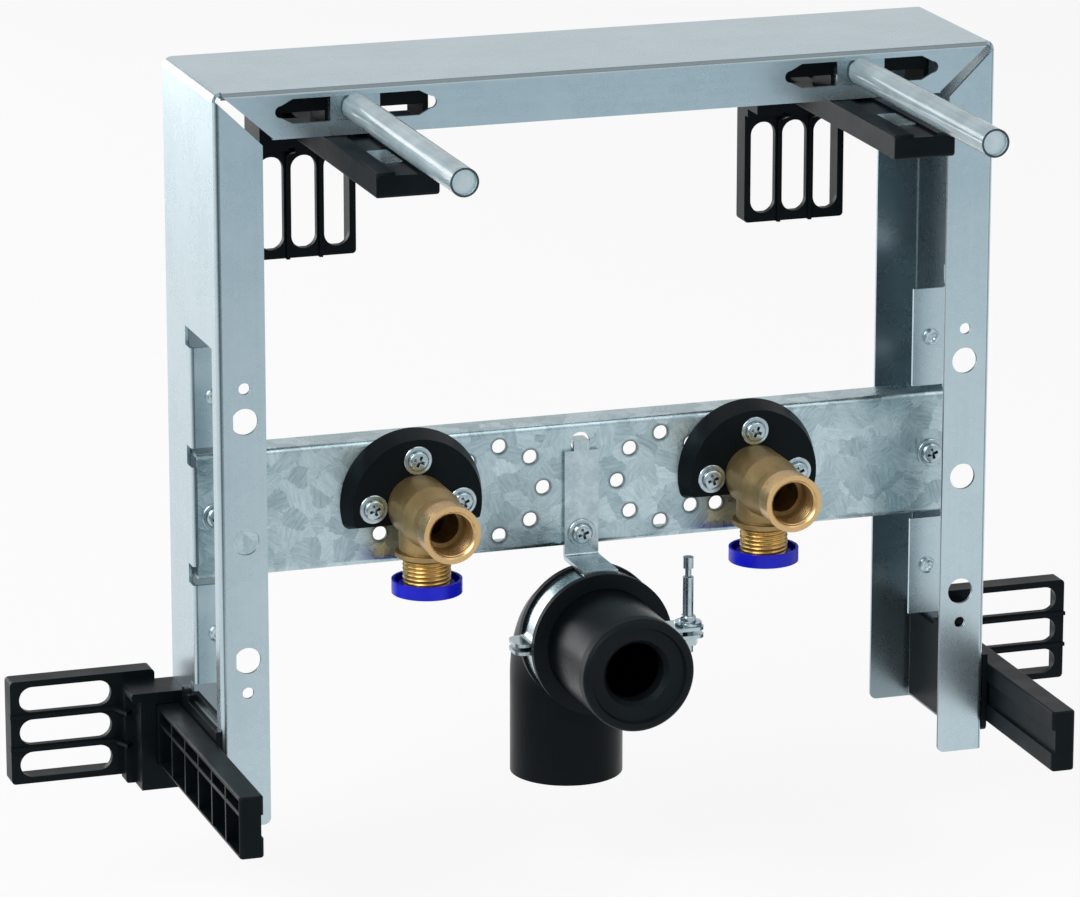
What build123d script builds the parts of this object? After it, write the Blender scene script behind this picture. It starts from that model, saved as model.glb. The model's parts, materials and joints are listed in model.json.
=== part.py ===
"""Basin installation frame: folded channel portal, cross rail with tap elbows, waste bend and wall brackets.

Millimetres, +X right, +Y to the wall, +Z up. The design frame has the front of the portal at Y = 0
and the feet of its posts at Z = 0; every part is then set down with the origin on the wall face of
the lower left foot.
"""
import math
import os

from build123d import *

# Portal: one sheet-steel channel, notched and folded twice into an inverted U
frame_width = 348.0
frame_height = 319.0
frame_depth = 83.0
flange_width = 21.0
sheet = 1.5
bend_radius = 2.5
fold_radius = 4.0
mitre_gap = 3.5
flange_corner = 3.0

# Holes of the post flanges, all measured from the fixing height
fixing_height = 126.0
flange_hole_inset = 11.7
big_hole_radius = 5.75
big_hole_rise = 52.3
small_hole_radius = 2.5
small_hole_rise = 66.6

# Web windows with the inward tabs that carry the rail
window_front = 8.0
window_half_height = 83.0
tab_front = 43.0
tab_length = 18.5
tab_outer_rise = 74.5
tab_inner_rise = 30.5
mid_tab_rise = 22.0
relief_depth = 6.0

# Slots of the beam for the basin rods
rod_spacing = 225.0
rod_drop = 9.5
rod_radius = 5.0
slot_length = 70.0
slot_height = 10.5
slot_taper = 5.0
slot_lobe_radius = 2.6

# Basin rods, their sleeves and holding plates
sleeve_length = 148.0
sleeve_radius = 6.0
rod_recess = 1.5
rod_back = 34.0
holder_width = 21.5
holder_height = 14.0
holder_thickness = 4.0

# Moulded slides behind the beam slots
slide_half_length = 33.5
slide_depth = 22.0
slide_rise = 7.0
slide_drop = 10.5
slide_corner = 2.0
slide_window_start = 12.0
slide_window_end = 30.5
slide_window_top = 1.6
slide_window_bottom = 9.0

# Cross rail
rail_half_height = 27.75
rail_depth = 15.5
rail_end_gap = 0.5
rail_hole_radius = 3.2
rail_circle_radius = 20.0
rail_circle_count = 8
rail_inner_offset = 37.0
rail_outer_offset = 77.0

# Tap elbows and their insulating discs
disc_thickness = 10.0
disc_base_radius = 32.0
disc_front_radius = 29.0
disc_flat_drop = 11.0
disc_corner = 4.0
disc_screw_radius = 2.1
elbow_mouth_front = -18.0
elbow_mouth_radius = 12.6
elbow_mouth_length = 10.0
elbow_mouth_step = 1.0
elbow_body_radius = 13.6
elbow_body_length = 21.0
elbow_neck_radius = 11.7
elbow_neck_length = 8.0
elbow_leg_radius = 12.0
elbow_groove_radius = 11.2
elbow_groove_width = 1.0
elbow_leg_gap = 0.5
socket_radius = 9.3
socket_depth = 15.0
socket_chamfer = 1.2
waterway_radius = 7.5
collar_radius = 13.7
collar_top_drop = 16.5
collar_bottom_drop = 18.5
thread_radius = 10.48
thread_depth = 0.75
thread_end_drop = 33.5
cap_radius = 15.3
cap_wall = 1.2
cap_floor = 1.5
cap_height = 5.9
cap_grip_radius = 12.2
cap_grip_height = 2.4

# Waste bend, its seal and the clamp
waste_radius = 25.0
waste_wall = 2.2
waste_drop = 64.0
waste_back = 60.0
waste_bend_radius = 29.0
waste_outlet_drop = 72.0
waste_front = -31.0
seal_front = -38.0
seal_hole_radius = 13.0
seal_funnel = 2.5
seal_funnel_step = 1.8
seal_edge_radius = 2.2
seal_rim_radius = 20.5
seal_rim_step = 0.8
seal_dish = 1.5
seal_wall = 3.0
seal_recess = 4.0
seal_lip_length = 9.0
seal_plug_length = 14.0
fit_clearance = 0.1
clamp_middle = 20.0
clamp_width = 14.0
clamp_steel = 1.5
lining_thickness = 3.9
lining_lip = 3.2
lining_lip_rise = 1.3
ear_gap = 2.0
ear_bend_radius = 3.0
ear_end_left = 38.5
ear_end_right = 48.5
ear_corner = 4.0
lining_slit = 8.0
lining_slit_depth = 1.2
bolt_offset = 42.5
bolt_radius = 2.4
bolt_clearance = 0.3
bolt_neck_radius = 1.4
bolt_knob_radius = 2.3
bolt_shaft_rise = 24.0
bolt_neck_length = 4.0
bolt_knob_length = 5.0
bolt_drop = 10.0
bolt_nut_radius = 4.6
bolt_nut_height = 4.0

# Hanger strap
strap_width = 15.5
strap_thickness = 2.0
strap_rise = 15.5
strap_bend_radius = 3.0
hook_width = 7.0
hook_rise = 19.0
hook_reach = 5.0
hook_hole_radius = 4.4

# Wall brackets: local X points away from the frame, Y to the wall, Z across
lower_arm_height = 25.0
post_gap = 2.4
beam_gap = 0.3
arm_thickness = 10.5
arm_width = 27.0
arm_front = -73.0
arm_edge_radius = 1.0
arm_end_radius = 1.8
arm_groove_width = 10.5
arm_groove_depth = 1.3
arm_rim = 1.6
arm_rib = 1.6
arm_cell_count = 6
arm_cell_pitch = 21.5
arm_cell_depth = 6.2
arm_upper_cell = 5.0
plate_inset = 3.0
plate_depth = 10.0
plate_width = 46.5
plate_inner = 6.0
plate_outer = 70.5
plate_corner = 1.8
plate_skin = 3.2
plate_rim = 2.5
foot_slot_width = 11.4
foot_slot_length = 41.0
foot_slot_pitch = 14.7
foot_slot_end = 66.5
ridge_width = 1.6
ridge_height = 1.0
ridge_overhang = 0.4
gusset_rise = 11.0
socket_length = 20.0
socket_upper_wall = 5.5
socket_lower_wall = 11.5
socket_outer_wall = 11.0
socket_inset = 4.0
socket_roof = 4.0
socket_flange = 8.0
socket_corner = 1.2
socket_clearance = 0.15

# Clips of the lower brackets, hooked over the sills of the web windows
clip_front = 1.0
clip_gap = 3.0
clip_drop = 17.5
clip_corner = 3.0
clip_inner_thickness = 2.0
clip_inner_front = 4.5
clip_inner_inset = 5.0
clip_inner_drop = 22.5
clip_upstand = 3.0
clip_bridge_width = 5.0
clip_hook_rise = 4.5
clip_hook_width = 9.0

half_width = frame_width / 2
rod_x = rod_spacing / 2
rod_height = frame_height - rod_drop
sleeve_front = -sleeve_length
rod_front = sleeve_front + rod_recess
rail_front = tab_front - sheet
elbow_offset = rail_outer_offset
disc_front = rail_front - disc_thickness
elbow_leg_y = disc_front - elbow_leg_radius - elbow_leg_gap
waste_height = fixing_height - waste_drop
waste_outlet_bottom = waste_height - waste_outlet_drop
lining_radius = waste_radius + fit_clearance + lining_thickness
clamp_radius = lining_radius + clamp_steel
clamp_front = clamp_middle - clamp_width / 2
clamp_back = clamp_middle + clamp_width / 2
strap_front = clamp_front + fit_clearance
strap_top = fixing_height + strap_rise
hook_height = fixing_height + hook_rise
window_sill = fixing_height - window_half_height
plate_front = frame_depth - plate_inset
wall_face = plate_front + plate_depth
socket_front = plate_front - socket_length
clip_back = socket_front - clip_gap
clip_inner_back = frame_depth - clip_inner_inset
socket_outer = arm_thickness + socket_outer_wall
foot_middle = (plate_inner + plate_outer) / 2
origin = Vector(-half_width - post_gap - foot_middle, wall_face, lower_arm_height)


def block(x0, x1, y0, y1, z0, z1):
    """Box between two corners."""
    return Pos((x0 + x1) / 2, (y0 + y1) / 2, (z0 + z1) / 2) * Box(x1 - x0, y1 - y0, z1 - z0)


def bar_y(x, z, radius, y0, y1):
    """Round bar along Y."""
    return Pos(x, (y0 + y1) / 2, z) * Rot(X=90) * Cylinder(radius, y1 - y0)


def bar_z(x, y, radius, z0, z1):
    """Upright round bar."""
    return Pos(x, y, (z0 + z1) / 2) * Cylinder(radius, z1 - z0)


def slab_y(sketch, y0, y1):
    """Sketch in X and Z, drawn out along Y."""
    return extrude(Plane.XZ.offset(-y1) * sketch, amount=y1 - y0, dir=(0, -1, 0))


def turned_y(points, x, z):
    """Solid turned about an axis along Y; points are (radius, y)."""
    face = make_face(Polyline(*points, close=True))
    return Pos(x, 0, z) * revolve(face, axis=Axis.Y)


def turned_z(points, x, y):
    """Solid turned about an upright axis; points are (radius, z)."""
    face = Plane.XZ * make_face(Polyline(*points, close=True))
    return Pos(x, y, 0) * revolve(face, axis=Axis.Z)


def rounded(width, depth, radius):
    """Rectangle from the origin with its two corners on the Y axis rounded."""
    shape = Rectangle(width, depth, align=(Align.MIN, Align.MIN))
    return fillet(shape.vertices().group_by(Axis.X)[0], radius)


def channel(length):
    """Channel with its web on local X = 0, drawn out along local Z."""
    outer = rounded(flange_width, frame_depth, bend_radius)
    inner = rounded(flange_width - sheet, frame_depth - 2 * sheet, bend_radius - sheet)
    return extrude(outer - Pos(sheet, sheet) * inner, amount=length)


def left_corner():
    """Folded web strip of the left corner."""
    ring = Circle(fold_radius) - Circle(fold_radius - sheet)
    quarter = ring & Rectangle(fold_radius, fold_radius, align=(Align.MAX, Align.MIN))
    strip = Pos(fold_radius - half_width, frame_height - fold_radius) * quarter
    return slab_y(strip, bend_radius, frame_depth - bend_radius)


def left_notch():
    """Open mitre between the flanges of the left post and the beam."""
    inside = flange_width + 1.0
    points = [
        (sheet - half_width, frame_height - fold_radius),
        (inside - half_width, frame_height - inside - mitre_gap + sheet),
        (inside + sheet - half_width, frame_height - inside - sheet),
        (inside + mitre_gap - half_width, frame_height - inside + sheet),
        (fold_radius - half_width, frame_height - sheet),
    ]
    return slab_y(Polygon(*points, align=None), -1, frame_depth + 1)


def left_window():
    """Window of the left web with the relief cuts beside its tabs."""
    back = tab_front + sheet
    cut = block(
        -half_width - 1, sheet - half_width + 0.5, window_front, back,
        fixing_height - window_half_height, fixing_height + window_half_height,
    )
    for low, high in ((mid_tab_rise, tab_inner_rise), (tab_outer_rise, window_half_height)):
        for z0, z1 in ((low, high), (-high, -low)):
            cut += block(
                -half_width - 1, sheet - half_width + 0.5, back - 0.5, back + relief_depth,
                fixing_height + z0, fixing_height + z1,
            )
    return cut


def left_tabs():
    """Tabs folded inwards from the window: one above, one behind and one below the rail."""
    tabs = []
    for z0, z1 in (
        (tab_inner_rise, tab_outer_rise),
        (-mid_tab_rise, mid_tab_rise),
        (-tab_outer_rise, -tab_inner_rise),
    ):
        tab = block(
            -half_width, tab_length - half_width, tab_front, tab_front + sheet,
            fixing_height + z0, fixing_height + z1,
        )
        fold = tab.edges().filter_by(Axis.Z).group_by(Axis.X)[0].sort_by(Axis.Y)[0]
        tabs.append(fillet(fold, sheet - 0.1))
    return tabs


def beam_slot():
    """Long slot with tapered ends that close on a small round lobe."""
    half = slot_length / 2
    lobe = half - slot_lobe_radius
    shoulder = lobe - slot_taper
    points = [
        (-shoulder, -slot_height / 2),
        (shoulder, -slot_height / 2),
        (lobe, -slot_lobe_radius),
        (lobe, slot_lobe_radius),
        (shoulder, slot_height / 2),
        (-shoulder, slot_height / 2),
        (-lobe, slot_lobe_radius),
        (-lobe, -slot_lobe_radius),
    ]
    outline = Polygon(*points, align=None)
    return outline + Pos(lobe, 0) * Circle(slot_lobe_radius) + Pos(-lobe, 0) * Circle(slot_lobe_radius)


def portal_frame():
    post = Pos(-half_width, 0, 0) * channel(frame_height - fold_radius)
    inner_foot = [
        e for e in post.edges().filter_by(Axis.Y)
        if e.center().Z < 0.1 and e.center().X > flange_width - half_width - 0.1
    ]
    post = fillet(inner_foot, flange_corner)
    beam_plane = Plane(origin=(fold_radius - half_width, 0, frame_height), x_dir=(0, 0, -1), z_dir=(1, 0, 0))
    beam = beam_plane * channel(frame_width - 2 * fold_radius)
    left = post - left_window()
    for tab in left_tabs():
        left += tab
    hole_x = flange_hole_inset - half_width
    for rise in (-big_hole_rise, 0, big_hole_rise):
        left -= bar_y(hole_x, fixing_height + rise, big_hole_radius, -1, sheet + 1)
    for rise in (-small_hole_rise, small_hole_rise):
        left -= bar_y(hole_x, fixing_height + rise, small_hole_radius, -1, sheet + 1)
    left += left_corner()
    frame = beam + left + mirror(left, about=Plane.YZ)
    frame -= left_notch()
    frame -= mirror(left_notch(), about=Plane.YZ)
    for x in (-rod_x, rod_x):
        frame -= slab_y(Pos(x, rod_height) * beam_slot(), -1, frame_depth + 1)
    return frame


def cross_rail():
    length = frame_width - 2 * (sheet + rail_end_gap)
    outer = Rectangle(rail_depth, 2 * rail_half_height, align=(Align.MIN, Align.CENTER))
    inner = Rectangle(rail_depth - sheet, 2 * (rail_half_height - sheet), align=(Align.MIN, Align.CENTER))
    profile = outer - Pos(sheet, 0) * inner
    profile = fillet(profile.vertices().group_by(Axis.X)[0], bend_radius)
    plane = Plane(origin=(-length / 2, rail_front, fixing_height), x_dir=(0, 1, 0), z_dir=(1, 0, 0))
    rail = extrude(plane * profile, amount=length)
    holes = set()
    for offset in (rail_inner_offset, rail_outer_offset):
        for side in (-1, 1):
            for place in PolarLocations(rail_circle_radius, rail_circle_count):
                holes.add((round(side * offset + place.position.X, 3), round(place.position.Y, 3)))
    for x, rise in sorted(holes):
        rail -= bar_y(x, fixing_height + rise, rail_hole_radius, rail_front - 1, rail_front + sheet + 1)
    rail -= bar_y(0, hook_height, hook_hole_radius, rail_front - 1, rail_front + sheet + 1)
    return rail


def basin_rod(x):
    return bar_y(x, rod_height, rod_radius, rod_front, rod_back)


def rod_sleeve(x):
    tube = bar_y(x, rod_height, sleeve_radius, sleeve_front, 0)
    return tube - bar_y(x, rod_height, rod_radius + fit_clearance, sleeve_front - 1, 1)


def rod_holder(x):
    plate = block(
        x - holder_width / 2, x + holder_width / 2, sheet, sheet + holder_thickness,
        rod_height - holder_height / 2, rod_height + holder_height / 2,
    )
    return plate - bar_y(x, rod_height, rod_radius + fit_clearance, 0, sheet + holder_thickness + 1)


def rod_slide(x):
    """Moulded block that closes the beam slot behind the holding plate, with a window on each side."""
    front = sheet + holder_thickness
    back = front + slide_depth
    slide = block(
        x - slide_half_length, x + slide_half_length, front, back,
        rod_height - slide_drop, rod_height + slide_rise,
    )
    slide = fillet(slide.edges().filter_by(Axis.Z), slide_corner)
    for x0, x1 in ((slide_window_start, slide_window_end), (-slide_window_end, -slide_window_start)):
        slide -= block(
            x + x0, x + x1, front - 1, back + 1,
            rod_height - slide_window_bottom, rod_height - slide_window_top,
        )
    return slide - bar_y(x, rod_height, rod_radius + fit_clearance, front - 1, back + 1)


def insulating_disc(x):
    """Conical disc with a flat below, narrowing to the front."""
    outline = Circle(disc_base_radius)
    below = Rectangle(2 * disc_base_radius, disc_base_radius, align=(Align.CENTER, Align.MAX))
    outline -= Pos(0, -disc_flat_drop) * below
    outline = fillet(outline.vertices(), disc_corner)
    slope = math.degrees(math.atan((disc_base_radius - disc_front_radius) / disc_thickness))
    plane = Plane(origin=(x, rail_front, fixing_height), x_dir=(1, 0, 0), z_dir=(0, -1, 0))
    disc = extrude(plane * outline, amount=disc_thickness, taper=slope)
    for dx, dz in ((-rail_circle_radius, 0), (rail_circle_radius, 0), (0, rail_circle_radius)):
        disc -= bar_y(x + dx, fixing_height + dz, disc_screw_radius, disc_front - 1, rail_front + 1)
    return disc


def brass_elbow(x):
    """Wall-plate elbow: socket barrel to the front, collared thread downwards."""
    mouth_back = elbow_mouth_front + elbow_mouth_length
    neck_back = mouth_back + elbow_neck_length
    body_front = disc_front - elbow_body_length
    body = turned_y(
        [
            (0, elbow_mouth_front), (elbow_mouth_radius, elbow_mouth_front), (elbow_mouth_radius, mouth_back),
            (elbow_neck_radius, mouth_back + elbow_mouth_step), (elbow_neck_radius, neck_back),
            (elbow_body_radius, body_front), (elbow_body_radius, disc_front), (0, disc_front),
        ],
        x, fixing_height,
    )
    collar_top = fixing_height - collar_top_drop
    collar_bottom = fixing_height - collar_bottom_drop
    thread_end = fixing_height - thread_end_drop
    groove_top = collar_top + elbow_groove_width
    thread_root = thread_radius - thread_depth
    body += turned_z(
        [
            (0, thread_end), (thread_root, thread_end), (thread_root, collar_bottom),
            (collar_radius, collar_bottom), (collar_radius, collar_top), (elbow_groove_radius, collar_top),
            (elbow_groove_radius, groove_top), (elbow_leg_radius, groove_top),
            (elbow_leg_radius, fixing_height), (0, fixing_height),
        ],
        x, elbow_leg_y,
    )
    chamfer_back = elbow_mouth_front + socket_chamfer
    socket_back = elbow_mouth_front + socket_depth
    body -= turned_y(
        [
            (0, elbow_mouth_front), (socket_radius + socket_chamfer, elbow_mouth_front),
            (socket_radius, chamfer_back), (socket_radius, socket_back), (0, socket_back),
        ],
        x, fixing_height,
    )
    body -= bar_y(x, fixing_height, waterway_radius, elbow_mouth_front, elbow_leg_y)
    body -= bar_z(x, elbow_leg_y, waterway_radius, thread_end - 1, fixing_height)
    return body


def thread_cap(x):
    seat = fixing_height - thread_end_drop
    low = seat - cap_floor
    cap = bar_z(x, elbow_leg_y, cap_radius, low, low + cap_height)
    cap -= bar_z(x, elbow_leg_y, cap_radius - cap_wall, seat, low + cap_height + 1)
    grip = bar_z(x, elbow_leg_y, cap_grip_radius, seat, seat + cap_grip_height)
    cap += grip - bar_z(x, elbow_leg_y, thread_radius + fit_clearance, seat, seat + cap_grip_height + 1)
    return cap


def pipe_path():
    corner_z = waste_height - waste_bend_radius
    corner_y = waste_back - waste_bend_radius
    start = Line((0, waste_back, waste_outlet_bottom), (0, waste_back, corner_z))
    reach = waste_bend_radius * math.sqrt(0.5)
    middle = (0, corner_y + reach, corner_z + reach)
    turn = ThreePointArc((0, waste_back, corner_z), middle, (0, corner_y, waste_height))
    end = Line((0, corner_y, waste_height), (0, waste_front, waste_height))
    return start + turn + end


def waste_bend():
    path = pipe_path()
    base = Plane(origin=(0, waste_back, waste_outlet_bottom), z_dir=(0, 0, 1))
    outer = sweep(base * Circle(waste_radius), path=path)
    inner = sweep(base * Circle(waste_radius - waste_wall), path=path)
    return outer - inner


def waste_seal():
    plug = waste_radius - waste_wall - fit_clearance
    lip_front = seal_front + seal_recess
    lip_back = lip_front + seal_lip_length
    seal = turned_y(
        [
            (seal_hole_radius, lip_front + seal_funnel), (seal_hole_radius + seal_funnel_step, lip_front),
            (seal_rim_radius, lip_front - seal_dish),
            (seal_rim_radius + seal_rim_step, seal_front), (waste_radius, seal_front), (waste_radius, waste_front),
            (plug, waste_front), (plug, waste_front + seal_plug_length),
            (plug - seal_wall, waste_front + seal_plug_length), (plug - seal_wall, lip_back),
            (seal_hole_radius, lip_back),
        ],
        0, waste_height,
    )
    front = seal.edges().group_by(Axis.Y)[0].sort_by(SortBy.RADIUS)[-1]
    return fillet(front, seal_edge_radius)


def clamp_lining():
    """Rubber lining with lips in front of and behind the steel band, slit at the bolted ears."""
    inner = waste_radius + fit_clearance
    rim = clamp_radius + lining_lip_rise
    front = clamp_front - lining_lip
    back = clamp_back + lining_lip
    ring = turned_y(
        [
            (inner, front), (rim, front), (rim, clamp_front), (lining_radius, clamp_front),
            (lining_radius, clamp_back), (rim, clamp_back), (rim, back), (inner, back),
        ],
        0, waste_height,
    )
    floor = lining_radius - lining_slit_depth
    slit = block(floor, rim + 1, front - 1, back + 1, waste_height - lining_slit, waste_height + lining_slit)
    ring -= slit
    clear = strap_width / 2 + fit_clearance
    ring -= block(-clear, clear, clamp_front, back + 1, waste_height + clamp_radius, waste_height + rim + 1)
    return ring


def clamp_half(upper):
    """Steel band: half a ring that bends out into two flat ears."""
    low = ear_gap / 2
    high = low + clamp_steel
    ears = Pos(-ear_end_left, low) * Rectangle(
        ear_end_left + ear_end_right, clamp_steel, align=(Align.MIN, Align.MIN)
    )
    above = Pos(0, low) * Rectangle(2 * clamp_radius, clamp_radius, align=(Align.CENTER, Align.MIN))
    band = (Circle(clamp_radius) & above) + ears - Circle(lining_radius)
    inside = [v for v in band.vertices() if v.Y < low + 0.01 and abs(v.X) < clamp_radius]
    band = fillet(inside, ear_bend_radius + clamp_steel)
    outside = [v for v in band.vertices() if abs(v.Y - high) < 0.01 and abs(v.X) < clamp_radius]
    band = fillet(outside, ear_bend_radius)
    half = slab_y(Pos(0, waste_height) * band, clamp_front, clamp_back)
    ends = [e for e in half.edges().filter_by(Axis.Z) if abs(e.center().X) > clamp_radius + ear_bend_radius]
    half = fillet(ends, ear_corner)
    half -= bar_z(bolt_offset, clamp_middle, bolt_radius + bolt_clearance, waste_height, waste_height + high + 1)
    if upper:
        return half
    return mirror(half, about=Plane.XY.offset(waste_height))


def clamp_bolt():
    """Snap-off bolt with a necked knob and a hexagon nut under the ears."""
    low = waste_height - bolt_drop
    shaft_top = waste_height + bolt_shaft_rise
    neck_top = shaft_top + bolt_neck_length
    knob_top = neck_top + bolt_knob_length
    bolt = turned_z(
        [
            (0, low), (bolt_radius, low), (bolt_radius, shaft_top), (bolt_neck_radius, shaft_top),
            (bolt_neck_radius, neck_top), (bolt_knob_radius, neck_top), (bolt_knob_radius, knob_top),
            (0, knob_top),
        ],
        bolt_offset, clamp_middle,
    )
    seat = waste_height - ear_gap / 2 - clamp_steel
    nut = extrude(RegularPolygon(bolt_nut_radius, 6), amount=bolt_nut_height)
    return bolt + Pos(bolt_offset, clamp_middle, seat - bolt_nut_height) * nut


def hanger_strap():
    ring_top = waste_height + waste_radius + fit_clearance + lining_thickness + clamp_steel
    back = rail_front
    front = rail_front - strap_thickness
    low = ring_top
    high = ring_top + strap_thickness
    points = [
        (strap_front, low), (back, low), (back, strap_top), (front, strap_top), (front, high), (strap_front, high),
    ]
    profile = Polygon(*points, align=None)
    outer = [v for v in profile.vertices() if abs(v.X - back) < 0.01 and abs(v.Y - low) < 0.01]
    profile = fillet(outer, strap_bend_radius)
    inner = [v for v in profile.vertices() if abs(v.X - front) < 0.01 and abs(v.Y - high) < 0.01]
    profile = fillet(inner, strap_bend_radius - strap_thickness)
    plane = Plane(origin=(-strap_width / 2, 0, 0), x_dir=(0, 1, 0), z_dir=(1, 0, 0))
    strap = extrude(plane * profile, amount=strap_width)
    strap += block(-hook_width / 2, hook_width / 2, front, back, strap_top - 1, hook_height + 1)
    strap += block(
        -hook_width / 2, hook_width / 2, front, back + sheet + hook_reach, hook_height - 1, hook_height + 1,
    )
    return strap


def bracket_arm():
    """Moulded bar: guide groove on the frame side, two rows of ribbed cells on the other."""
    arm = block(0, arm_thickness, arm_front, plate_front, -arm_width / 2, arm_width / 2)
    arm = fillet(arm.edges().filter_by(Axis.Z).group_by(Axis.Y)[0], arm_end_radius)
    arm = fillet(arm.edges().filter_by(Axis.Y), arm_edge_radius)
    arm -= block(
        -1, arm_groove_depth, arm_front - 1, socket_front, -arm_groove_width / 2, arm_groove_width / 2,
    )
    top = arm_width / 2 - arm_rim
    rib = top - arm_upper_cell
    for index in range(arm_cell_count):
        y0 = arm_front + arm_rim + index * arm_cell_pitch
        y1 = y0 + arm_cell_pitch - arm_rib
        for z0, z1 in ((rib, top), (-top, rib - arm_rib)):
            arm -= block(arm_thickness - arm_cell_depth, arm_thickness + 1, y0, y1, z0, z1)
    return arm


def foot_plate():
    """Slotted plate, hollow behind, with ridges between the slots that end proud of the outer edge."""
    plate = block(plate_inner, plate_outer, plate_front, wall_face, -plate_width / 2, plate_width / 2)
    plate = fillet(plate.edges().filter_by(Axis.Y), plate_corner)
    slot_start = foot_slot_end - foot_slot_length
    plate -= block(
        slot_start - plate_rim, plate_outer - plate_rim, plate_front + plate_skin, wall_face + 1,
        plate_rim - plate_width / 2, plate_width / 2 - plate_rim,
    )
    gusset = Polygon(
        (arm_thickness, plate_front), (socket_outer, plate_front - gusset_rise), (slot_start, plate_front),
        align=None,
    )
    for rise in (-foot_slot_pitch / 2, foot_slot_pitch / 2):
        plate += block(
            socket_outer, plate_outer + ridge_overhang, plate_front - ridge_height, plate_front + plate_skin,
            rise - ridge_width / 2, rise + ridge_width / 2,
        )
        plate += Pos(0, 0, rise - ridge_width / 2) * extrude(gusset, amount=ridge_width)
    slot = Pos(slot_start + foot_slot_length / 2, 0) * SlotOverall(foot_slot_length, foot_slot_width)
    for row in (-1, 0, 1):
        plate -= slab_y(Pos(0, row * foot_slot_pitch) * slot, plate_front - 1, wall_face + 1)
    return plate


def wall_foot():
    """Slotted plate with the collar that holds the end of the arm."""
    top = arm_width / 2 + socket_upper_wall
    low = -arm_width / 2 - socket_lower_wall
    collar = block(-post_gap, socket_outer - socket_inset, socket_front, plate_front, low, top)
    collar += block(-post_gap, socket_outer, socket_front, plate_front, top - socket_roof, top)
    collar += block(-post_gap, socket_outer, plate_front - socket_flange, plate_front, low, top)
    collar = fillet(collar.edges().filter_by(Axis.Y).group_by(Axis.X)[-1], socket_corner)
    reach = arm_width / 2 + socket_clearance
    bore = block(
        -socket_clearance, arm_thickness + socket_clearance, socket_front - 1, plate_front, -reach, reach,
    )
    return foot_plate() + collar - bore


def frame_clip():
    """Saddle on the window sill: plate beside the arm, plate inside the post, bridge and hook between."""
    web_outer = -post_gap
    web_inner = web_outer - sheet
    sill = window_sill - lower_arm_height
    hook_top = sill + clip_hook_rise
    hook_front = clip_back - clip_hook_width
    outer = block(web_outer, 0, clip_front, clip_back, -clip_drop, sill)
    outer = fillet(outer.edges().filter_by(Axis.X).group_by(Axis.Z)[0], clip_corner)
    hook = block(web_outer, 0, hook_front, clip_back, sill - 1, hook_top)
    hook = fillet(hook.edges().filter_by(Axis.X).group_by(Axis.Z)[-1], clip_corner)
    inner_front = web_inner - clip_inner_thickness
    inner = block(inner_front, web_inner, clip_inner_front, clip_inner_back, -clip_inner_drop, sill)
    upstand_back = tab_front + sheet + relief_depth - socket_clearance
    upstand = block(
        inner_front, web_inner, window_front + socket_clearance, upstand_back, sill - 1, sill + clip_upstand,
    )
    bridge = block(
        inner_front, 0, upstand_back - clip_bridge_width, upstand_back, sill, sill + clip_upstand,
    )
    return outer + hook + inner + upstand + bridge


def right_lower(shape):
    return Pos(half_width + post_gap, 0, lower_arm_height) * shape


def upper(shape, x):
    return Pos(x, 0, frame_height - flange_width - beam_gap) * Rot(Y=90) * shape


parts = {
    "portal_frame": portal_frame(),
    "cross_rail": cross_rail(),
    "hanger_strap": hanger_strap(),
    "clamp_upper_half": clamp_half(True),
    "clamp_lower_half": clamp_half(False),
    "clamp_lining": clamp_lining(),
    "clamp_bolt": clamp_bolt(),
    "waste_bend": waste_bend(),
    "waste_seal": waste_seal(),
}
for side, sign in (("left", -1), ("right", 1)):
    parts["basin_rod_" + side] = basin_rod(sign * rod_x)
    parts["rod_sleeve_" + side] = rod_sleeve(sign * rod_x)
    parts["rod_holder_" + side] = rod_holder(sign * rod_x)
    parts["rod_slide_" + side] = rod_slide(sign * rod_x)
    parts["insulating_disc_" + side] = insulating_disc(sign * elbow_offset)
    parts["brass_elbow_" + side] = brass_elbow(sign * elbow_offset)
    parts["thread_cap_" + side] = thread_cap(sign * elbow_offset)
    parts["upper_arm_" + side] = upper(bracket_arm(), sign * rod_x)
    parts["upper_foot_" + side] = upper(wall_foot(), sign * rod_x)
for name, shape in (("lower_arm", bracket_arm()), ("lower_foot", wall_foot()), ("lower_clip", frame_clip())):
    parts[name + "_right"] = right_lower(shape)
    parts[name + "_left"] = mirror(right_lower(shape), about=Plane.YZ)

os.makedirs("parts", exist_ok=True)
for name, shape in parts.items():
    export_step(Pos(-origin.X, -origin.Y, -origin.Z) * shape, "parts/" + name + ".step")
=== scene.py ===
"""Looks of the basin installation frame: finishes, screws, threads, studio and camera."""
import json
import math

import bmesh
import bpy
from mathutils import Matrix, Vector


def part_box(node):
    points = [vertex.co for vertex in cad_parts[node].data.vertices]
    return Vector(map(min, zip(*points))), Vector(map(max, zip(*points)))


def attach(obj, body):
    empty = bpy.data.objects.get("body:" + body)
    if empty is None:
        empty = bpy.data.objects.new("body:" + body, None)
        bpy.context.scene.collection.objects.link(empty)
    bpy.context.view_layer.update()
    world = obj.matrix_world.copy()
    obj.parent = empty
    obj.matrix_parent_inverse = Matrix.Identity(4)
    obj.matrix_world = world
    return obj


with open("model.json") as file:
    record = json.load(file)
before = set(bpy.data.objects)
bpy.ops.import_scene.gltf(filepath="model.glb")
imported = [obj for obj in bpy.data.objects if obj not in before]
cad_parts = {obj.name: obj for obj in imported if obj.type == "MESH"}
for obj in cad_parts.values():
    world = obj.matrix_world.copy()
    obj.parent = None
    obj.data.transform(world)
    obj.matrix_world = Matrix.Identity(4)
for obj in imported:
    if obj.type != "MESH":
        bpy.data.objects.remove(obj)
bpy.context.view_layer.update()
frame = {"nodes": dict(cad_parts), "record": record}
portal_low, portal_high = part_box("portal_frame")
portal_middle = (portal_low.x + portal_high.x) / 2

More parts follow.
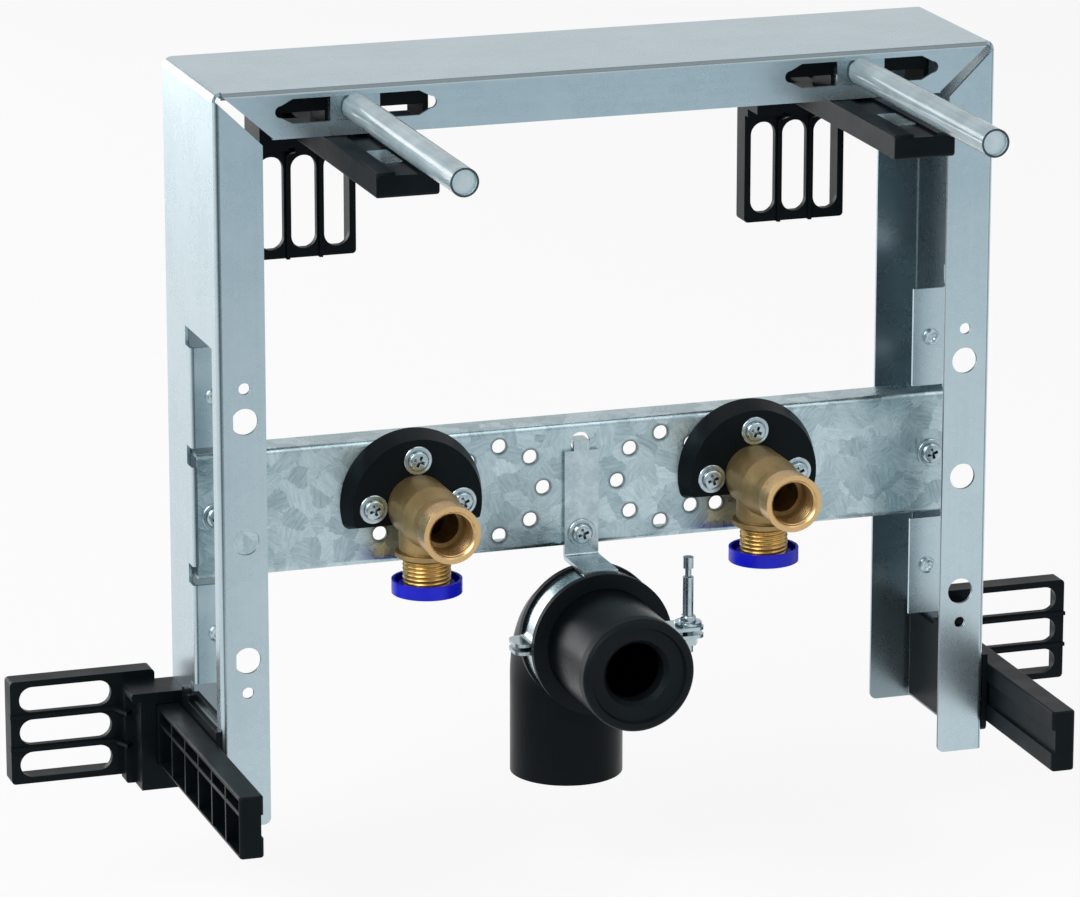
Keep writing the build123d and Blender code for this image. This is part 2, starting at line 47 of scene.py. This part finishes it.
# Places in millimetres from the middle, front and foot of the portal
RAIL_HEIGHT = 126.0
RAIL_FRONT = 41.5
BACK_FLANGE = 81.5
INNER_WEB = 172.5
RAIL_SCREW_OFFSET = 164.0
RAIL_CIRCLE_OFFSETS = (37.0, 77.0)
TAB_FRONT = 43.0
TAB_HOLE_OFFSET = 163.8
TAB_HOLE_RISE = 52.5
STRAP_FRONT = 39.5
STRAP_SCREW_HEIGHT = 104.5
DISC_FRONT = 31.5
ELBOW_OFFSET = 77.0
ELBOW_LEG = 19.0
MOUTH_FRONT = -18.0
MOUTH_BACK = -8.0
SOCKET_BACK = -3.0
COLLAR_BOTTOM = 107.5
THREAD_BOTTOM = 92.5
BEAM_FOOT = 298.0
ARM_PLATE_MIDDLE = -40.0
SLEEVE_FRONT = -148.0
CLAMP_BOLT = (42.5, 20.0)
CLAMP_EAR_TOP = 64.5
FLOOR_HEIGHT = -60.0
CAMERA_PLACE = (-808.27, -2334.34, 834.09)

# Sizes in millimetres
SHEET = 1.5
PORTAL_CUT_REACH = 171.0
RAIL_CUT_REACH = 25.8
RAIL_CIRCLE_RADIUS = 20.0
RAIL_HOLE_RADIUS = 3.2
PUNCHED_RIM = 1.3
DISC_SCREW_CIRCLE = 20.0
ARM_GROOVE = 1.3
FACE_BAND = 0.3
CUT_MARGIN = 0.1
SOCKET_RADIUS = 9.9
MOUTH_CHAMFER = 0.4
SLEEVE_CUT = 0.15
SCREW_CROSS = 2.5
SCREW_RECESS = 1.6
SCREW_CROWN = 3.4
PLATE_SIZE = (9.0, 24.0, 0.7)
PLATE_CORNER = 1.4
PIPE_THREAD_PITCH = 1.814
PIPE_THREAD_LEAD = 0.9
ROD_THREAD_PITCH = 1.5

# Counts, shares, the floor in metres, and the camera in degrees and pixels of the photograph
RAIL_CIRCLE_COUNT = 8
PIPE_THREAD_TURNS = 7
PIPE_THREAD_STEPS = 44
SCREW_ARM_SHARE = 0.8
SCREW_FLOOR_SHARE = 0.84
FLOOR_REACH = 20.0
CAMERA_DOWN = 15.42
CAMERA_TURN = -18.39
PHOTO_WIDTH = 1080.0
PHOTO_FOCAL = 5994.0


def at(x, y, z):
    """Point of the row frame, from millimetres at the portal's middle, front and foot."""
    return Vector((portal_middle + x / 1000, portal_low.y + y / 1000, portal_low.z + z / 1000))


class Wire:
    """One socket of a node tree; arithmetic on wires adds Math nodes."""

    def __init__(self, nodes, socket):
        self.nodes = nodes
        self.socket = socket

    def maths(self, operation, *terms):
        return self.nodes.add("Math", {"operation": operation}, dict(enumerate(terms)))

    def __add__(self, other):
        return self.maths("ADD", self, other)

    def __radd__(self, other):
        return self.maths("ADD", other, self)

    def __sub__(self, other):
        return self.maths("SUBTRACT", self, other)

    def __rsub__(self, other):
        return self.maths("SUBTRACT", other, self)

    def __mul__(self, other):
        return self.maths("MULTIPLY", self, other)

    def __rmul__(self, other):
        return self.maths("MULTIPLY", other, self)

    def __lt__(self, other):
        return self.maths("LESS_THAN", self, other)

    def __gt__(self, other):
        return self.maths("GREATER_THAN", self, other)

    def larger(self, other):
        return self.maths("MAXIMUM", self, other)

    def sign(self):
        return self.maths("SIGN", self)

    def rounded(self):
        return self.maths("ROUND", self)

    def root(self):
        return self.maths("SQRT", self)

    def sine(self):
        return self.maths("SINE", self)

    def cosine(self):
        return self.maths("COSINE", self)

    def wave(self):
        """Sine brought to 0..1."""
        return 0.5 + 0.5 * self.sine()

    def angle_from(self, other):
        return self.maths("ARCTAN2", self, other)

    def axis(self, letter):
        return self.nodes.add("SeparateXYZ", {}, {"Vector": self}, output=letter)


class Nodes:
    """A node tree that takes its nodes one at a time."""

    def __init__(self, tree):
        self.tree = tree

    def add(self, kind, settings, sockets, output=0):
        made = self.tree.nodes.new("ShaderNode" + kind)
        for name, value in settings.items():
            setattr(made, name, value)
        for name, value in sockets.items():
            if isinstance(value, Wire):
                self.tree.links.new(value.socket, made.inputs[name])
            else:
                made.inputs[name].default_value = value
        return Wire(self, made.outputs[output])

    def spread(self, value, low, high, to_low=0.0, to_high=1.0):
        """Value brought from low..high to to_low..to_high and held there."""
        sockets = {"Value": value, "From Min": low, "From Max": high, "To Min": to_low, "To Max": to_high}
        return self.add("MapRange", {"clamp": True}, sockets)

    def mixed(self, share, first, second):
        """Colour between first and second."""
        sockets = {0: share}
        for index, colour in ((6, first), (7, second)):
            sockets[index] = colour if isinstance(colour, Wire) else (*colour, 1.0)
        return self.add("Mix", {"data_type": "RGBA"}, sockets, output=2)


class Finish(Nodes):
    """A material whose pattern is fixed to the part, round one Principled shader."""

    def __init__(self, name, **constants):
        self.material = bpy.data.materials.new(name)
        self.material.use_nodes = True
        super().__init__(self.material.node_tree)
        self.shader = self.tree.nodes["Principled BSDF"]
        self.place = self.add("TexCoord", {}, {}, output="Object")
        for socket, value in constants.items():
            self.shader.inputs[socket.replace("_", " ")].default_value = value

    def grain(self, size, detail=3.0, roughness=0.55, stretch=(1, 1, 1), output=0):
        """Noise whose blobs are about size metres across, drawn out where stretch is over 1."""
        scale = tuple(1 / (size * s) for s in stretch)
        place = self.add("Mapping", {}, {"Vector": self.place, "Scale": scale})
        sockets = {"Vector": place, "Scale": 1.0, "Detail": detail, "Roughness": roughness}
        return self.add("TexNoise", {}, sockets, output=output)

    def crystals(self, place, per_metre):
        """Random colour of each cell of a cracked pattern."""
        sockets = {"Vector": place, "Scale": per_metre}
        return self.add("TexVoronoi", {"feature": "F1"}, sockets, output="Color")

    def cut_edge(self, front, thickness, offset, reach):
        """1 between the faces of an upright sheet, within reach millimetres of the offset's zero."""
        depth = self.place.axis("Y")
        low = at(0, front + CUT_MARGIN, 0).y
        high = at(0, front + thickness - CUT_MARGIN, 0).y
        return (depth > low) * (depth < high) * (offset * offset < (reach / 1000) ** 2)

    def wear(self, **sockets):
        """Links wires to the shader's own sockets."""
        for name, wire in sockets.items():
            self.tree.links.new(wire.socket, self.shader.inputs[name.replace("_", " ")])
        return self

    def relief(self, height, depth, strength=1.0, edge=None):
        """Bump of depth metres where height goes from 0 to 1, over edges rounded by edge metres."""
        sockets = {"Height": height, "Distance": depth, "Strength": strength}
        if edge is not None:
            sockets["Normal"] = self.add("Bevel", {"samples": 4}, {"Radius": edge})
        return self.wear(Normal=self.add("Bump", {}, sockets))


def galvanised_channel():
    """Satin zinc sheet with rolling streaks, cloudy patches, raw cut edges and painted shade on the inside
    faces of the channel.
    """
    zinc = Finish("galvanised_channel", Metallic=0.92)
    on_beam = zinc.place.axis("Z") > at(0, 0, BEAM_FOOT).z
    upright = zinc.grain(0.0022, 3.0, stretch=(1, 1, 40))
    level = zinc.grain(0.0022, 3.0, stretch=(40, 1, 1))
    streak = upright * (1 - on_beam) + level * on_beam
    cloud = zinc.spread(zinc.grain(0.03, 4.0), 0.3, 0.7)
    flake = zinc.crystals(zinc.place, 330.0).axis("X")
    tone = zinc.spread(0.4 * cloud + 0.15 * flake + 0.45 * streak, 0.2, 0.8)
    sheet = zinc.mixed(tone, (0.455, 0.57, 0.62), (0.525, 0.64, 0.69))
    across = zinc.place.axis("X") - portal_middle
    low, high = (((INNER_WEB + band) / 1000) ** 2 for band in (-FACE_BAND, FACE_BAND))
    inner_web = (across * across > low) * (across * across < high)
    depth = zinc.place.axis("Y")
    low, high = (at(0, BACK_FLANGE + band, 0).y for band in (-FACE_BAND, FACE_BAND))
    inner_flange = (depth > low) * (depth < high)
    painted_shade_inside = inner_web.larger(inner_flange)
    # Painted shade: the inner faces of the webs and of the back flange are darkened towards blue-black,
    # standing in for the darker things they mirror.
    sheet = zinc.mixed(0.6 * painted_shade_inside, sheet, (0.06, 0.09, 0.105))
    cut = zinc.cut_edge(0.0, SHEET, across, PORTAL_CUT_REACH)
    colour = zinc.mixed(cut, sheet, (0.20, 0.235, 0.25))
    gloss = zinc.spread(0.7 * cloud + 0.3 * flake, 0.0, 1.0, 0.265, 0.285) + 0.25 * cut
    return zinc.wear(Base_Color=colour, Roughness=gloss).relief(0.8 * streak + 0.2 * flake, 0.00002, 0.1)


def punched_rim(zinc, offset):
    """1 at the edge of each hole of the two hole circles at offset, fading over the drawn-in rim; the mask of
    the painted shade round the holes.
    """
    across = zinc.place.axis("X") - portal_middle
    across = across - across.sign() * (offset / 1000)
    rise = zinc.place.axis("Z") - at(0, 0, RAIL_HEIGHT).z
    pitch = math.tau / RAIL_CIRCLE_COUNT
    nearest = pitch * (rise.angle_from(across) * (1 / pitch)).rounded()
    to_side = across - RAIL_CIRCLE_RADIUS / 1000 * nearest.cosine()
    to_top = rise - RAIL_CIRCLE_RADIUS / 1000 * nearest.sine()
    distance = (to_side * to_side + to_top * to_top).root()
    edge = RAIL_HOLE_RADIUS / 1000
    return zinc.spread(distance, edge, edge + PUNCHED_RIM / 1000, 1.0, 0.0)


def spangled_rail():
    """Hot-dip zinc: crystals of different brightness, each feathered its own way, and painted shade round the
    hole rims.
    """
    zinc = Finish("spangled_rail", Metallic=0.92)
    waver = zinc.grain(0.004, 4.0, 0.65, output="Color")
    shift = zinc.add("VectorMath", {"operation": "SCALE"}, {0: waver, "Scale": 0.005})
    place = zinc.add("VectorMath", {"operation": "ADD"}, {0: zinc.place, 1: shift})
    crystal = zinc.crystals(place, 125.0)
    lean = math.tau * crystal.axis("Y")
    along = zinc.place.axis("X")
    across = zinc.place.axis("Z") + zinc.place.axis("Y")
    blade = {
        "X": 950.0 * (along * lean.cosine() + across * lean.sine()),
        "Y": 160.0 * (across * lean.cosine() - along * lean.sine()),
        "Z": 60.0 * crystal.axis("Z"),
    }
    blade = zinc.add("CombineXYZ", {}, blade)
    feather = zinc.add("TexNoise", {}, {"Vector": blade, "Scale": 1.0, "Detail": 3.0, "Roughness": 0.6})
    feather = zinc.spread(feather, 0.32, 0.68)
    cloud = zinc.grain(0.05, 2.0)
    tone = zinc.spread(0.38 * crystal.axis("X") + 0.36 * feather + 0.26 * cloud, 0.15, 0.85)
    sheet = zinc.mixed(tone, (0.27, 0.375, 0.41), (0.575, 0.71, 0.755))
    inner, outer = (punched_rim(zinc, offset) for offset in RAIL_CIRCLE_OFFSETS)
    # Painted shade: near-black rings round the punched holes, where the drawn-in rims fall in shade.
    sheet = zinc.mixed(0.85 * inner.larger(outer), sheet, (0.035, 0.045, 0.05))
    rise = zinc.place.axis("Z") - at(0, 0, RAIL_HEIGHT).z
    cut = zinc.cut_edge(RAIL_FRONT, SHEET, rise, RAIL_CUT_REACH)
    colour = zinc.mixed(cut, sheet, (0.10, 0.125, 0.135))
    gloss = zinc.spread(0.6 * crystal.axis("Z") + 0.4 * feather, 0.0, 1.0, 0.20, 0.38) + 0.25 * cut
    return zinc.wear(Base_Color=colour, Roughness=gloss).relief(tone, 0.00005, 0.5)


def zinc_steel():
    """Bright plated steel with painted shade in recesses and corners."""
    plate = Finish("zinc_steel", Metallic=0.95)
    cloud = plate.spread(plate.grain(0.006, 3.0), 0.3, 0.7)
    bright = plate.mixed(cloud, (0.37, 0.47, 0.51), (0.50, 0.60, 0.635))
    settings = {"samples": 8, "only_local": True}
    openness = plate.add("AmbientOcclusion", settings, {"Distance": 0.0014}, output="AO")
    # Painted shade: the ambient occlusion darkens the colour in recesses, screw crosses and corners.
    colour = plate.mixed(plate.spread(openness, 0.45, 0.85, 0.9, 0.0), bright, (0.03, 0.04, 0.045))
    gloss = plate.spread(plate.grain(0.002, 2.0), 0.3, 0.7, 0.18, 0.3)
    return plate.wear(Base_Color=colour, Roughness=gloss).relief(plate.grain(0.0006, 2.0), 0.00002, 0.4)


def rod_steel():
    """Pale plated rod with the crests of its thread along Y."""
    rod = Finish("rod_steel", Metallic=0.85)
    cloud = rod.spread(rod.grain(0.006, 3.0), 0.3, 0.7)
    colour = rod.mixed(cloud, (0.62, 0.73, 0.755), (0.72, 0.81, 0.825))
    gloss = rod.spread(rod.grain(0.002, 2.0), 0.3, 0.7, 0.3, 0.4)
    crest = (rod.place.axis("Y") * (math.tau * 1000 / ROD_THREAD_PITCH)).wave()
    return rod.wear(Base_Color=colour, Roughness=gloss).relief(crest, 0.0004, 0.9)


def black_moulding(name, grain_size, gloss, shades, shine):
    """Black plastic or rubber with a fine erosion grain."""
    moulded = Finish(name, Specular_IOR_Level=shine, Specular_Tint=(0.80, 0.96, 1.0, 1.0))
    cloud = moulded.spread(moulded.grain(0.02, 3.0), 0.3, 0.7)
    fine = moulded.grain(grain_size, 2.0)
    colour = moulded.mixed(cloud, *shades)
    matt = moulded.spread(0.7 * cloud + 0.3 * fine, 0.2, 0.8, *gloss)
    return moulded.wear(Base_Color=colour, Roughness=matt).relief(fine, 0.00003, 0.5, 0.0004)


def cast_brass():
    """Sand-cast brass, turned bright at the mouths and threads, with a thread inside the sockets."""
    brass = Finish("cast_brass", Metallic=0.92)
    across = brass.place.axis("X") - portal_middle
    across = across - across.sign() * (ELBOW_OFFSET / 1000)
    depth = brass.place.axis("Y")
    height = brass.place.axis("Z")
    rise = height - at(0, 0, RAIL_HEIGHT).z
    radius = (across * across + rise * rise).root()
    mouth = depth < at(0, MOUTH_BACK, 0).y
    leg = height < at(0, 0, COLLAR_BOTTOM).z
    machined = mouth.larger(leg)
    in_socket = (depth < at(0, SOCKET_BACK, 0).y) * (depth > at(0, MOUTH_FRONT + MOUTH_CHAMFER, 0).y)
    inside = (radius < SOCKET_RADIUS / 1000) * in_socket
    sand = brass.grain(0.0011, 4.0, 0.65)
    cloud = brass.spread(brass.grain(0.012, 3.0), 0.3, 0.7)
    cast = brass.mixed(cloud, (0.34, 0.24, 0.105), (0.48, 0.345, 0.16))
    bright = brass.mixed(leg, (0.66, 0.45, 0.215), (0.60, 0.385, 0.125))
    colour = brass.mixed(machined, cast, bright)
    gloss = brass.spread(sand, 0.3, 0.7, 0.40, 0.54) - 0.16 * machined
    helix = depth * (math.tau * 1000 / PIPE_THREAD_PITCH) + rise.angle_from(across)
    face = sand * (1 - 0.9 * machined) + 4.0 * inside * helix.wave()
    return brass.wear(Base_Color=colour, Roughness=gloss).relief(face, 0.00022, 0.7, 0.0003)


def blue_plastic():
    """Glossy dyed cap."""
    cap = Finish("blue_plastic", Specular_IOR_Level=0.35)
    cloud = cap.spread(cap.grain(0.01, 2.0), 0.3, 0.7)
    colour = cap.mixed(cloud, (0.003, 0.004, 0.52), (0.004, 0.010, 0.68))
    gloss = cap.spread(cap.grain(0.002, 2.0), 0.3, 0.7, 0.30, 0.42)
    return cap.wear(Base_Color=colour, Roughness=gloss).relief(cap.grain(0.0008, 2.0), 0.00003, 0.4)


def sleeve_plastic():
    """Milky clear tube, drawn lengthwise, with painted shade on its cut end."""
    tube = Finish("sleeve_plastic", Specular_IOR_Level=0.5, Transmission_Weight=0.45, IOR=1.46)
    line = tube.grain(0.0016, 3.0, stretch=(1, 80, 1))
    cloud = tube.spread(tube.grain(0.02, 2.0), 0.3, 0.7)
    end = tube.place.axis("Y") < at(0, SLEEVE_FRONT + SLEEVE_CUT, 0).y
    tone = tube.spread(0.4 * cloud + 0.6 * line, 0.25, 0.75)
    wall = tube.mixed(tone, (0.38, 0.50, 0.55), (0.60, 0.73, 0.77))
    # Painted shade: the cut end face is coloured dark blue-grey.
    colour = tube.mixed(end, wall, (0.06, 0.09, 0.105))
    gloss = tube.spread(line, 0.3, 0.7, 0.10, 0.2)
    return tube.wear(Base_Color=colour, Roughness=gloss).relief(line, 0.00004, 0.5)


finishes = {
    "galvanised_channel": galvanised_channel(),
    "spangled_rail": spangled_rail(),
    "zinc_steel": zinc_steel(),
    "sleeve_plastic": sleeve_plastic(),
    "black_plastic": black_moulding(
        "black_plastic", 0.0005, (0.32, 0.44), ((0.0028, 0.0046, 0.0062), (0.005, 0.0078, 0.0100)), 0.09),
    "black_pipe": black_moulding(
        "black_pipe", 0.0009, (0.26, 0.36), ((0.0020, 0.0030, 0.0042), (0.0038, 0.0055, 0.0072)), 0.09),
    "black_rubber": black_moulding(
        "black_rubber", 0.0004, (0.44, 0.56), ((0.0032, 0.0050, 0.0064), (0.0056, 0.0082, 0.0100)), 0.13),
    "cast_brass": cast_brass(),
    "blue_plastic": blue_plastic(),
}
threaded_rod = rod_steel()
threaded = {"basin_rod_left": threaded_rod, "basin_rod_right": threaded_rod}

for subpart in frame["record"]["subparts"]:
    node = subpart["node"]
    mesh = frame["nodes"][node].data
    mesh.materials.clear()
    mesh.materials.append(threaded.get(node, finishes[subpart["material_slot"]]).material)


def finished(name, shape, slot, sharp=32):
    """Object made from a bmesh in the row frame, riding on the part."""
    bmesh.ops.remove_doubles(shape, verts=shape.verts, dist=1e-7)
    bmesh.ops.recalc_face_normals(shape, faces=shape.faces)
    mesh = bpy.data.meshes.new(name)
    shape.to_mesh(mesh)
    shape.free()
    mesh.polygons.foreach_set("use_smooth", [True] * len(mesh.polygons))
    mesh.set_sharp_from_angle(angle=math.radians(sharp))
    mesh.materials.append(finishes[slot].material)
    made = bpy.data.objects.new(name, mesh)
    bpy.context.scene.collection.objects.link(made)
    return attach(made, "root")


def turned(profile, steps=40):
    """Shape turned about Z from (radius, height) points in metres."""
    shape = bmesh.new()
    line = [shape.verts.new((radius, 0, height)) for radius, height in profile]
    edges = [shape.edges.new(pair) for pair in zip(line, line[1:])]
    bmesh.ops.spin(
        shape, geom=line + edges, cent=(0, 0, 0), axis=(0, 0, 1), angle=math.tau, steps=steps,
        use_merge=True,
    )
    return shape


def turn_to(shape, axis, degrees):
    """Turns a shape about an axis through the origin."""
    matrix = Matrix.Rotation(math.radians(degrees), 3, axis)
    bmesh.ops.rotate(shape, cent=(0, 0, 0), matrix=matrix, verts=shape.verts)


def set_in(group, shape, place):
    """Moves a shape to its place and joins it to a group."""
    bmesh.ops.translate(shape, vec=place, verts=shape.verts)
    carrier = bpy.data.meshes.new("carrier")
    shape.to_mesh(carrier)
    shape.free()
    group.from_mesh(carrier)
    bpy.data.meshes.remove(carrier)


def carried_on(shape, edges, steps):
    """Carries a ring of edges on through (factor, rise) steps."""
    for factor, rise in steps:
        made = bmesh.ops.extrude_edge_only(shape, edges=edges)["geom"]
        edges = [g for g in made if isinstance(g, bmesh.types.BMEdge) and g.is_boundary]
        verts = list({v for e in edges for v in e.verts})
        bmesh.ops.scale(shape, vec=(factor, factor, 1), verts=verts)
        bmesh.ops.translate(shape, vec=(0, 0, rise), verts=verts)


def screw_head(degrees):
    """Pan head with a flange and a cross recess, standing on its face and turned to the front."""
    head = bmesh.new()
    reach = SCREW_CROSS / 1000
    bmesh.ops.create_grid(head, x_segments=3, y_segments=3, size=reach)
    for axis, vec in ((0, (SCREW_ARM_SHARE, 1, 1)), (1, (1, SCREW_ARM_SHARE, 1))):
        bmesh.ops.scale(head, vec=vec, verts=[v for v in head.verts if abs(v.co[axis]) < reach / 2])
    corners = [f for f in head.faces if min(abs(c) for c in f.calc_center_median().xy) > reach / 5]
    bmesh.ops.delete(head, geom=corners, context="FACES")
    cross = head.faces[:]
    floor = bmesh.ops.extrude_face_region(head, geom=cross)["geom"]
    floor = [g for g in floor if isinstance(g, bmesh.types.BMVert)]
    bmesh.ops.translate(head, vec=(0, 0, -SCREW_RECESS / 1000), verts=floor)
    bmesh.ops.scale(head, vec=(SCREW_FLOOR_SHARE, SCREW_FLOOR_SHARE, 1), verts=floor)
    bmesh.ops.delete(head, geom=[f for f in cross if f.is_valid], context="FACES_ONLY")
    bmesh.ops.delete(head, geom=[e for e in head.edges if e.is_wire], context="EDGES")
    mouth = [e for e in head.edges if e.is_boundary]
    circle = bmesh.ops.create_circle(head, segments=36, radius=SCREW_CROWN / 1000)["verts"]
    rim = list({e for v in circle for e in v.link_edges})
    bmesh.ops.triangle_fill(head, use_beauty=True, edges=mouth + rim, normal=(0, 0, 1))
    carried_on(head, rim, [
        (1.16, -0.0002), (1.1, -0.0004), (1.04, -0.0006), (1.0, -0.0006),
        (1.33, -0.0001), (1.04, -0.0002), (1.0, -0.0009),
    ])
    bmesh.ops.holes_fill(head, edges=[e for e in head.edges if e.is_boundary])
    bmesh.ops.translate(head, vec=(0, 0, -min(v.co.z for v in head.verts)), verts=head.verts)
    turn_to(head, "Z", degrees)
    turn_to(head, "X", 90)
    return head


def screws(name, places):
    """One piece with a screw at each place, no two turned alike."""
    group = bmesh.new()
    for index, place in enumerate(places):
        set_in(group, screw_head(18 + 47 * index), place)
    finished(name, group, "zinc_steel")


def rail_fixings(side, sign):
    """Screws of the insulating disc and of the rail's end."""
    middle = sign * ELBOW_OFFSET
    spots = ((-DISC_SCREW_CIRCLE, 0.0), (0.0, DISC_SCREW_CIRCLE), (DISC_SCREW_CIRCLE, 0.0))
    screws("disc_screws_" + side, [at(middle + x, DISC_FRONT, RAIL_HEIGHT + z) for x, z in spots])
    screws("rail_screw_" + side, [at(sign * RAIL_SCREW_OFFSET, RAIL_FRONT, RAIL_HEIGHT)])


def tab_holes(side, sign):
    """Drawn thread holes in the tabs above and below the rail."""
    group = bmesh.new()
    for rise in (-TAB_HOLE_RISE, TAB_HOLE_RISE):
        ring = turned([
            (0, 0), (0.0038, 0), (0.0037, 0.0007), (0.0033, 0.0013), (0.0026, 0.0016), (0.0018, 0.0014),
            (0.0013, 0.0009), (0, 0.0008),
        ])
        turn_to(ring, "X", 90)
        set_in(group, ring, at(sign * TAB_HOLE_OFFSET, TAB_FRONT, RAIL_HEIGHT + rise))
    finished("tab_holes_" + side, group, "galvanised_channel")


def leg_thread(side, sign):
    """Half-inch pipe thread on the downward leg of an elbow."""
    thread = bmesh.new()
    profile = ((0.0096, -0.0008), (0.01047, -0.0002), (0.01047, 0.0002), (0.0096, 0.0008))
    ridge = [thread.verts.new((radius, 0, height)) for radius, height in profile]
    edges = [thread.edges.new(pair) for pair in zip(ridge, ridge[1:] + ridge[:1])]
    bmesh.ops.spin(
        thread, geom=ridge + edges, cent=(0, 0, 0), axis=(0, 0, 1), angle=math.tau * PIPE_THREAD_TURNS,
        steps=PIPE_THREAD_STEPS * PIPE_THREAD_TURNS,
        dvec=(0, 0, PIPE_THREAD_PITCH / 1000 / PIPE_THREAD_STEPS), use_merge=False,
    )
    bmesh.ops.holes_fill(thread, edges=[e for e in thread.edges if e.is_boundary], sides=4)
    place = at(sign * ELBOW_OFFSET, ELBOW_LEG, THREAD_BOTTOM + PIPE_THREAD_LEAD)
    bmesh.ops.translate(thread, vec=place, verts=thread.verts)
    finished("leg_thread_" + side, thread, "cast_brass", 60)


def groove_plate():
    """Thin plate with rounded corners, lying on Z = 0, long in Y."""
    plate = bmesh.new()
    bmesh.ops.create_cube(plate, size=1.0)
    width, length, thickness = (size / 1000 for size in PLATE_SIZE)
    bmesh.ops.scale(plate, vec=(width, length, thickness), verts=plate.verts)
    bmesh.ops.translate(plate, vec=(0, 0, thickness / 2), verts=plate.verts)
    corners = [e for e in plate.edges if abs(e.verts[0].co.z - e.verts[1].co.z) > thickness / 2]
    bmesh.ops.bevel(
        plate, geom=corners, offset=PLATE_CORNER / 1000, offset_type="OFFSET", segments=4, profile=0.5,
        affect="EDGES", material=-1,
    )
    return plate


def upper_arm_plate(side):
    """Plate in the guide groove on top of an upper arm."""
    low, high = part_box("upper_arm_" + side)
    plate = groove_plate()
    place = ((low.x + high.x) / 2, at(0, ARM_PLATE_MIDDLE, 0).y, high.z - ARM_GROOVE / 1000)
    bmesh.ops.translate(plate, vec=place, verts=plate.verts)
    finished("upper_arm_plate_" + side, plate, "zinc_steel")


def clamp_washer():
    """Collared washer under the snap-off shaft of the clamp bolt."""
    washer = turned([
        (0.0025, 0), (0.0060, 0), (0.0062, 0.0003), (0.0062, 0.0010), (0.0059, 0.0013), (0.0041, 0.0014),
        (0.0036, 0.0019), (0.0034, 0.0036), (0.0031, 0.0040), (0.0025, 0.0040), (0.0025, 0),
    ])
    bmesh.ops.translate(washer, vec=at(*CLAMP_BOLT, CLAMP_EAR_TOP), verts=washer.verts)
    finished("clamp_washer", washer, "zinc_steel")


for side, sign in (("left", -1), ("right", 1)):
    rail_fixings(side, sign)
    tab_holes(side, sign)
    leg_thread(side, sign)
    upper_arm_plate(side)
screws("strap_screw", [at(0, STRAP_FRONT, STRAP_SCREW_HEIGHT)])
clamp_washer()


def lamp(name, place, aim, size, watts):
    """Soft box that points from place to aim."""
    light = bpy.data.lights.new(name, "AREA")
    light.shape = "RECTANGLE"
    light.size, light.size_y = size
    light.energy = watts
    holder = bpy.data.objects.new(name, light)
    holder.location = place
    holder.rotation_euler = (aim - place).to_track_quat("-Z", "Y").to_euler()
    bpy.context.scene.collection.objects.link(holder)


def seen_directly(nodes, mirrored):
    """1 for camera and see-through rays, mirrored for mirror rays, 0 for the rest."""
    rays = ("Camera", "Glossy", "Transmission")
    camera, glossy, through = (nodes.add("LightPath", {}, {}, output=f"Is {ray} Ray") for ray in rays)
    return camera.larger(through).larger(mirrored * glossy)


def studio():
    """White surroundings, a pale floor that only reflections see darker far in front, and four soft boxes."""
    world = bpy.data.worlds.new("white_studio")
    bpy.context.scene.world = world
    world.use_nodes = True
    sky = Nodes(world.node_tree)
    background = world.node_tree.nodes["Background"]
    background.inputs["Color"].default_value = (1.0, 1.0, 1.0, 1.0)
    strength = 0.35 + 0.65 * seen_directly(sky, 0.65)
    world.node_tree.links.new(strength.socket, background.inputs["Strength"])

    shape = bmesh.new()
    bmesh.ops.create_grid(shape, x_segments=1, y_segments=1, size=FLOOR_REACH)
    bmesh.ops.translate(shape, vec=at(0, 0, FLOOR_HEIGHT), verts=shape.verts)
    mesh = bpy.data.meshes.new("studio_floor")
    shape.to_mesh(mesh)
    shape.free()
    floor = bpy.data.objects.new("studio_floor", mesh)
    bpy.context.scene.collection.objects.link(floor)
    material = bpy.data.materials.new("studio_floor")
    material.use_nodes = True
    pale = Nodes(material.node_tree)
    material.node_tree.nodes.remove(material.node_tree.nodes["Principled BSDF"])
    matt = pale.add("BsdfDiffuse", {}, {"Color": (0.9, 0.9, 0.9, 1.0)})
    place = pale.add("TexCoord", {}, {}, output="Object")
    depth = place.axis("Y")
    right = pale.spread(place.axis("X"), at(-150, 0, 0).x, at(80, 0, 0).x)
    near_right = pale.spread(depth, at(0, -1650, 0).y, at(0, -750, 0).y)
    near_left = pale.spread(depth, at(0, -750, 0).y, at(0, -250, 0).y)
    near = right * near_right + (1 - right) * near_left
    not_mirrored = 1 - pale.add("LightPath", {}, {}, output="Is Glossy Ray")
    far = pale.mixed(right, (0.04, 0.07, 0.09), (0.43, 0.55, 0.63))
    tint = pale.mixed(near.larger(not_mirrored), far, (1.0, 1.0, 1.0))
    glow = pale.add("Emission", {}, {"Color": tint, "Strength": 1.0})
    mix = pale.add("MixShader", {}, {"Fac": 0.87 * seen_directly(pale, 1.08), 1: matt, 2: glow})
    output = material.node_tree.nodes["Material Output"]
    material.node_tree.links.new(mix.socket, output.inputs["Surface"])
    mesh.materials.append(material)

    aim = at(0, 40, 160)
    lamp("key_light", at(-1700, -900, 1500), aim, (1.2, 1.2), 34)
    lamp("front_light", at(800, -1300, 2000), aim, (1.6, 1.6), 9)
    lamp("top_light", at(100, 500, 1900), aim, (1.8, 1.4), 3)
    lamp("side_light", at(-1000, 1900, 350), aim, (1.7, 1.0), 15)


def photo_camera():
    """Plain camera at the photograph's angle, without shift."""
    lens = bpy.data.cameras.new("photo_camera")
    lens.sensor_width = 36.0
    lens.lens = PHOTO_FOCAL / PHOTO_WIDTH * lens.sensor_width
    lens.clip_start = 0.1
    lens.clip_end = 30.0
    holder = bpy.data.objects.new("photo_camera", lens)
    holder.location = at(*CAMERA_PLACE)
    holder.rotation_euler = (math.radians(90 - CAMERA_DOWN), 0, math.radians(CAMERA_TURN))
    bpy.context.scene.collection.objects.link(holder)
    bpy.context.scene.camera = holder


studio()
photo_camera()
bpy.context.scene.view_settings.view_transform = "Standard"
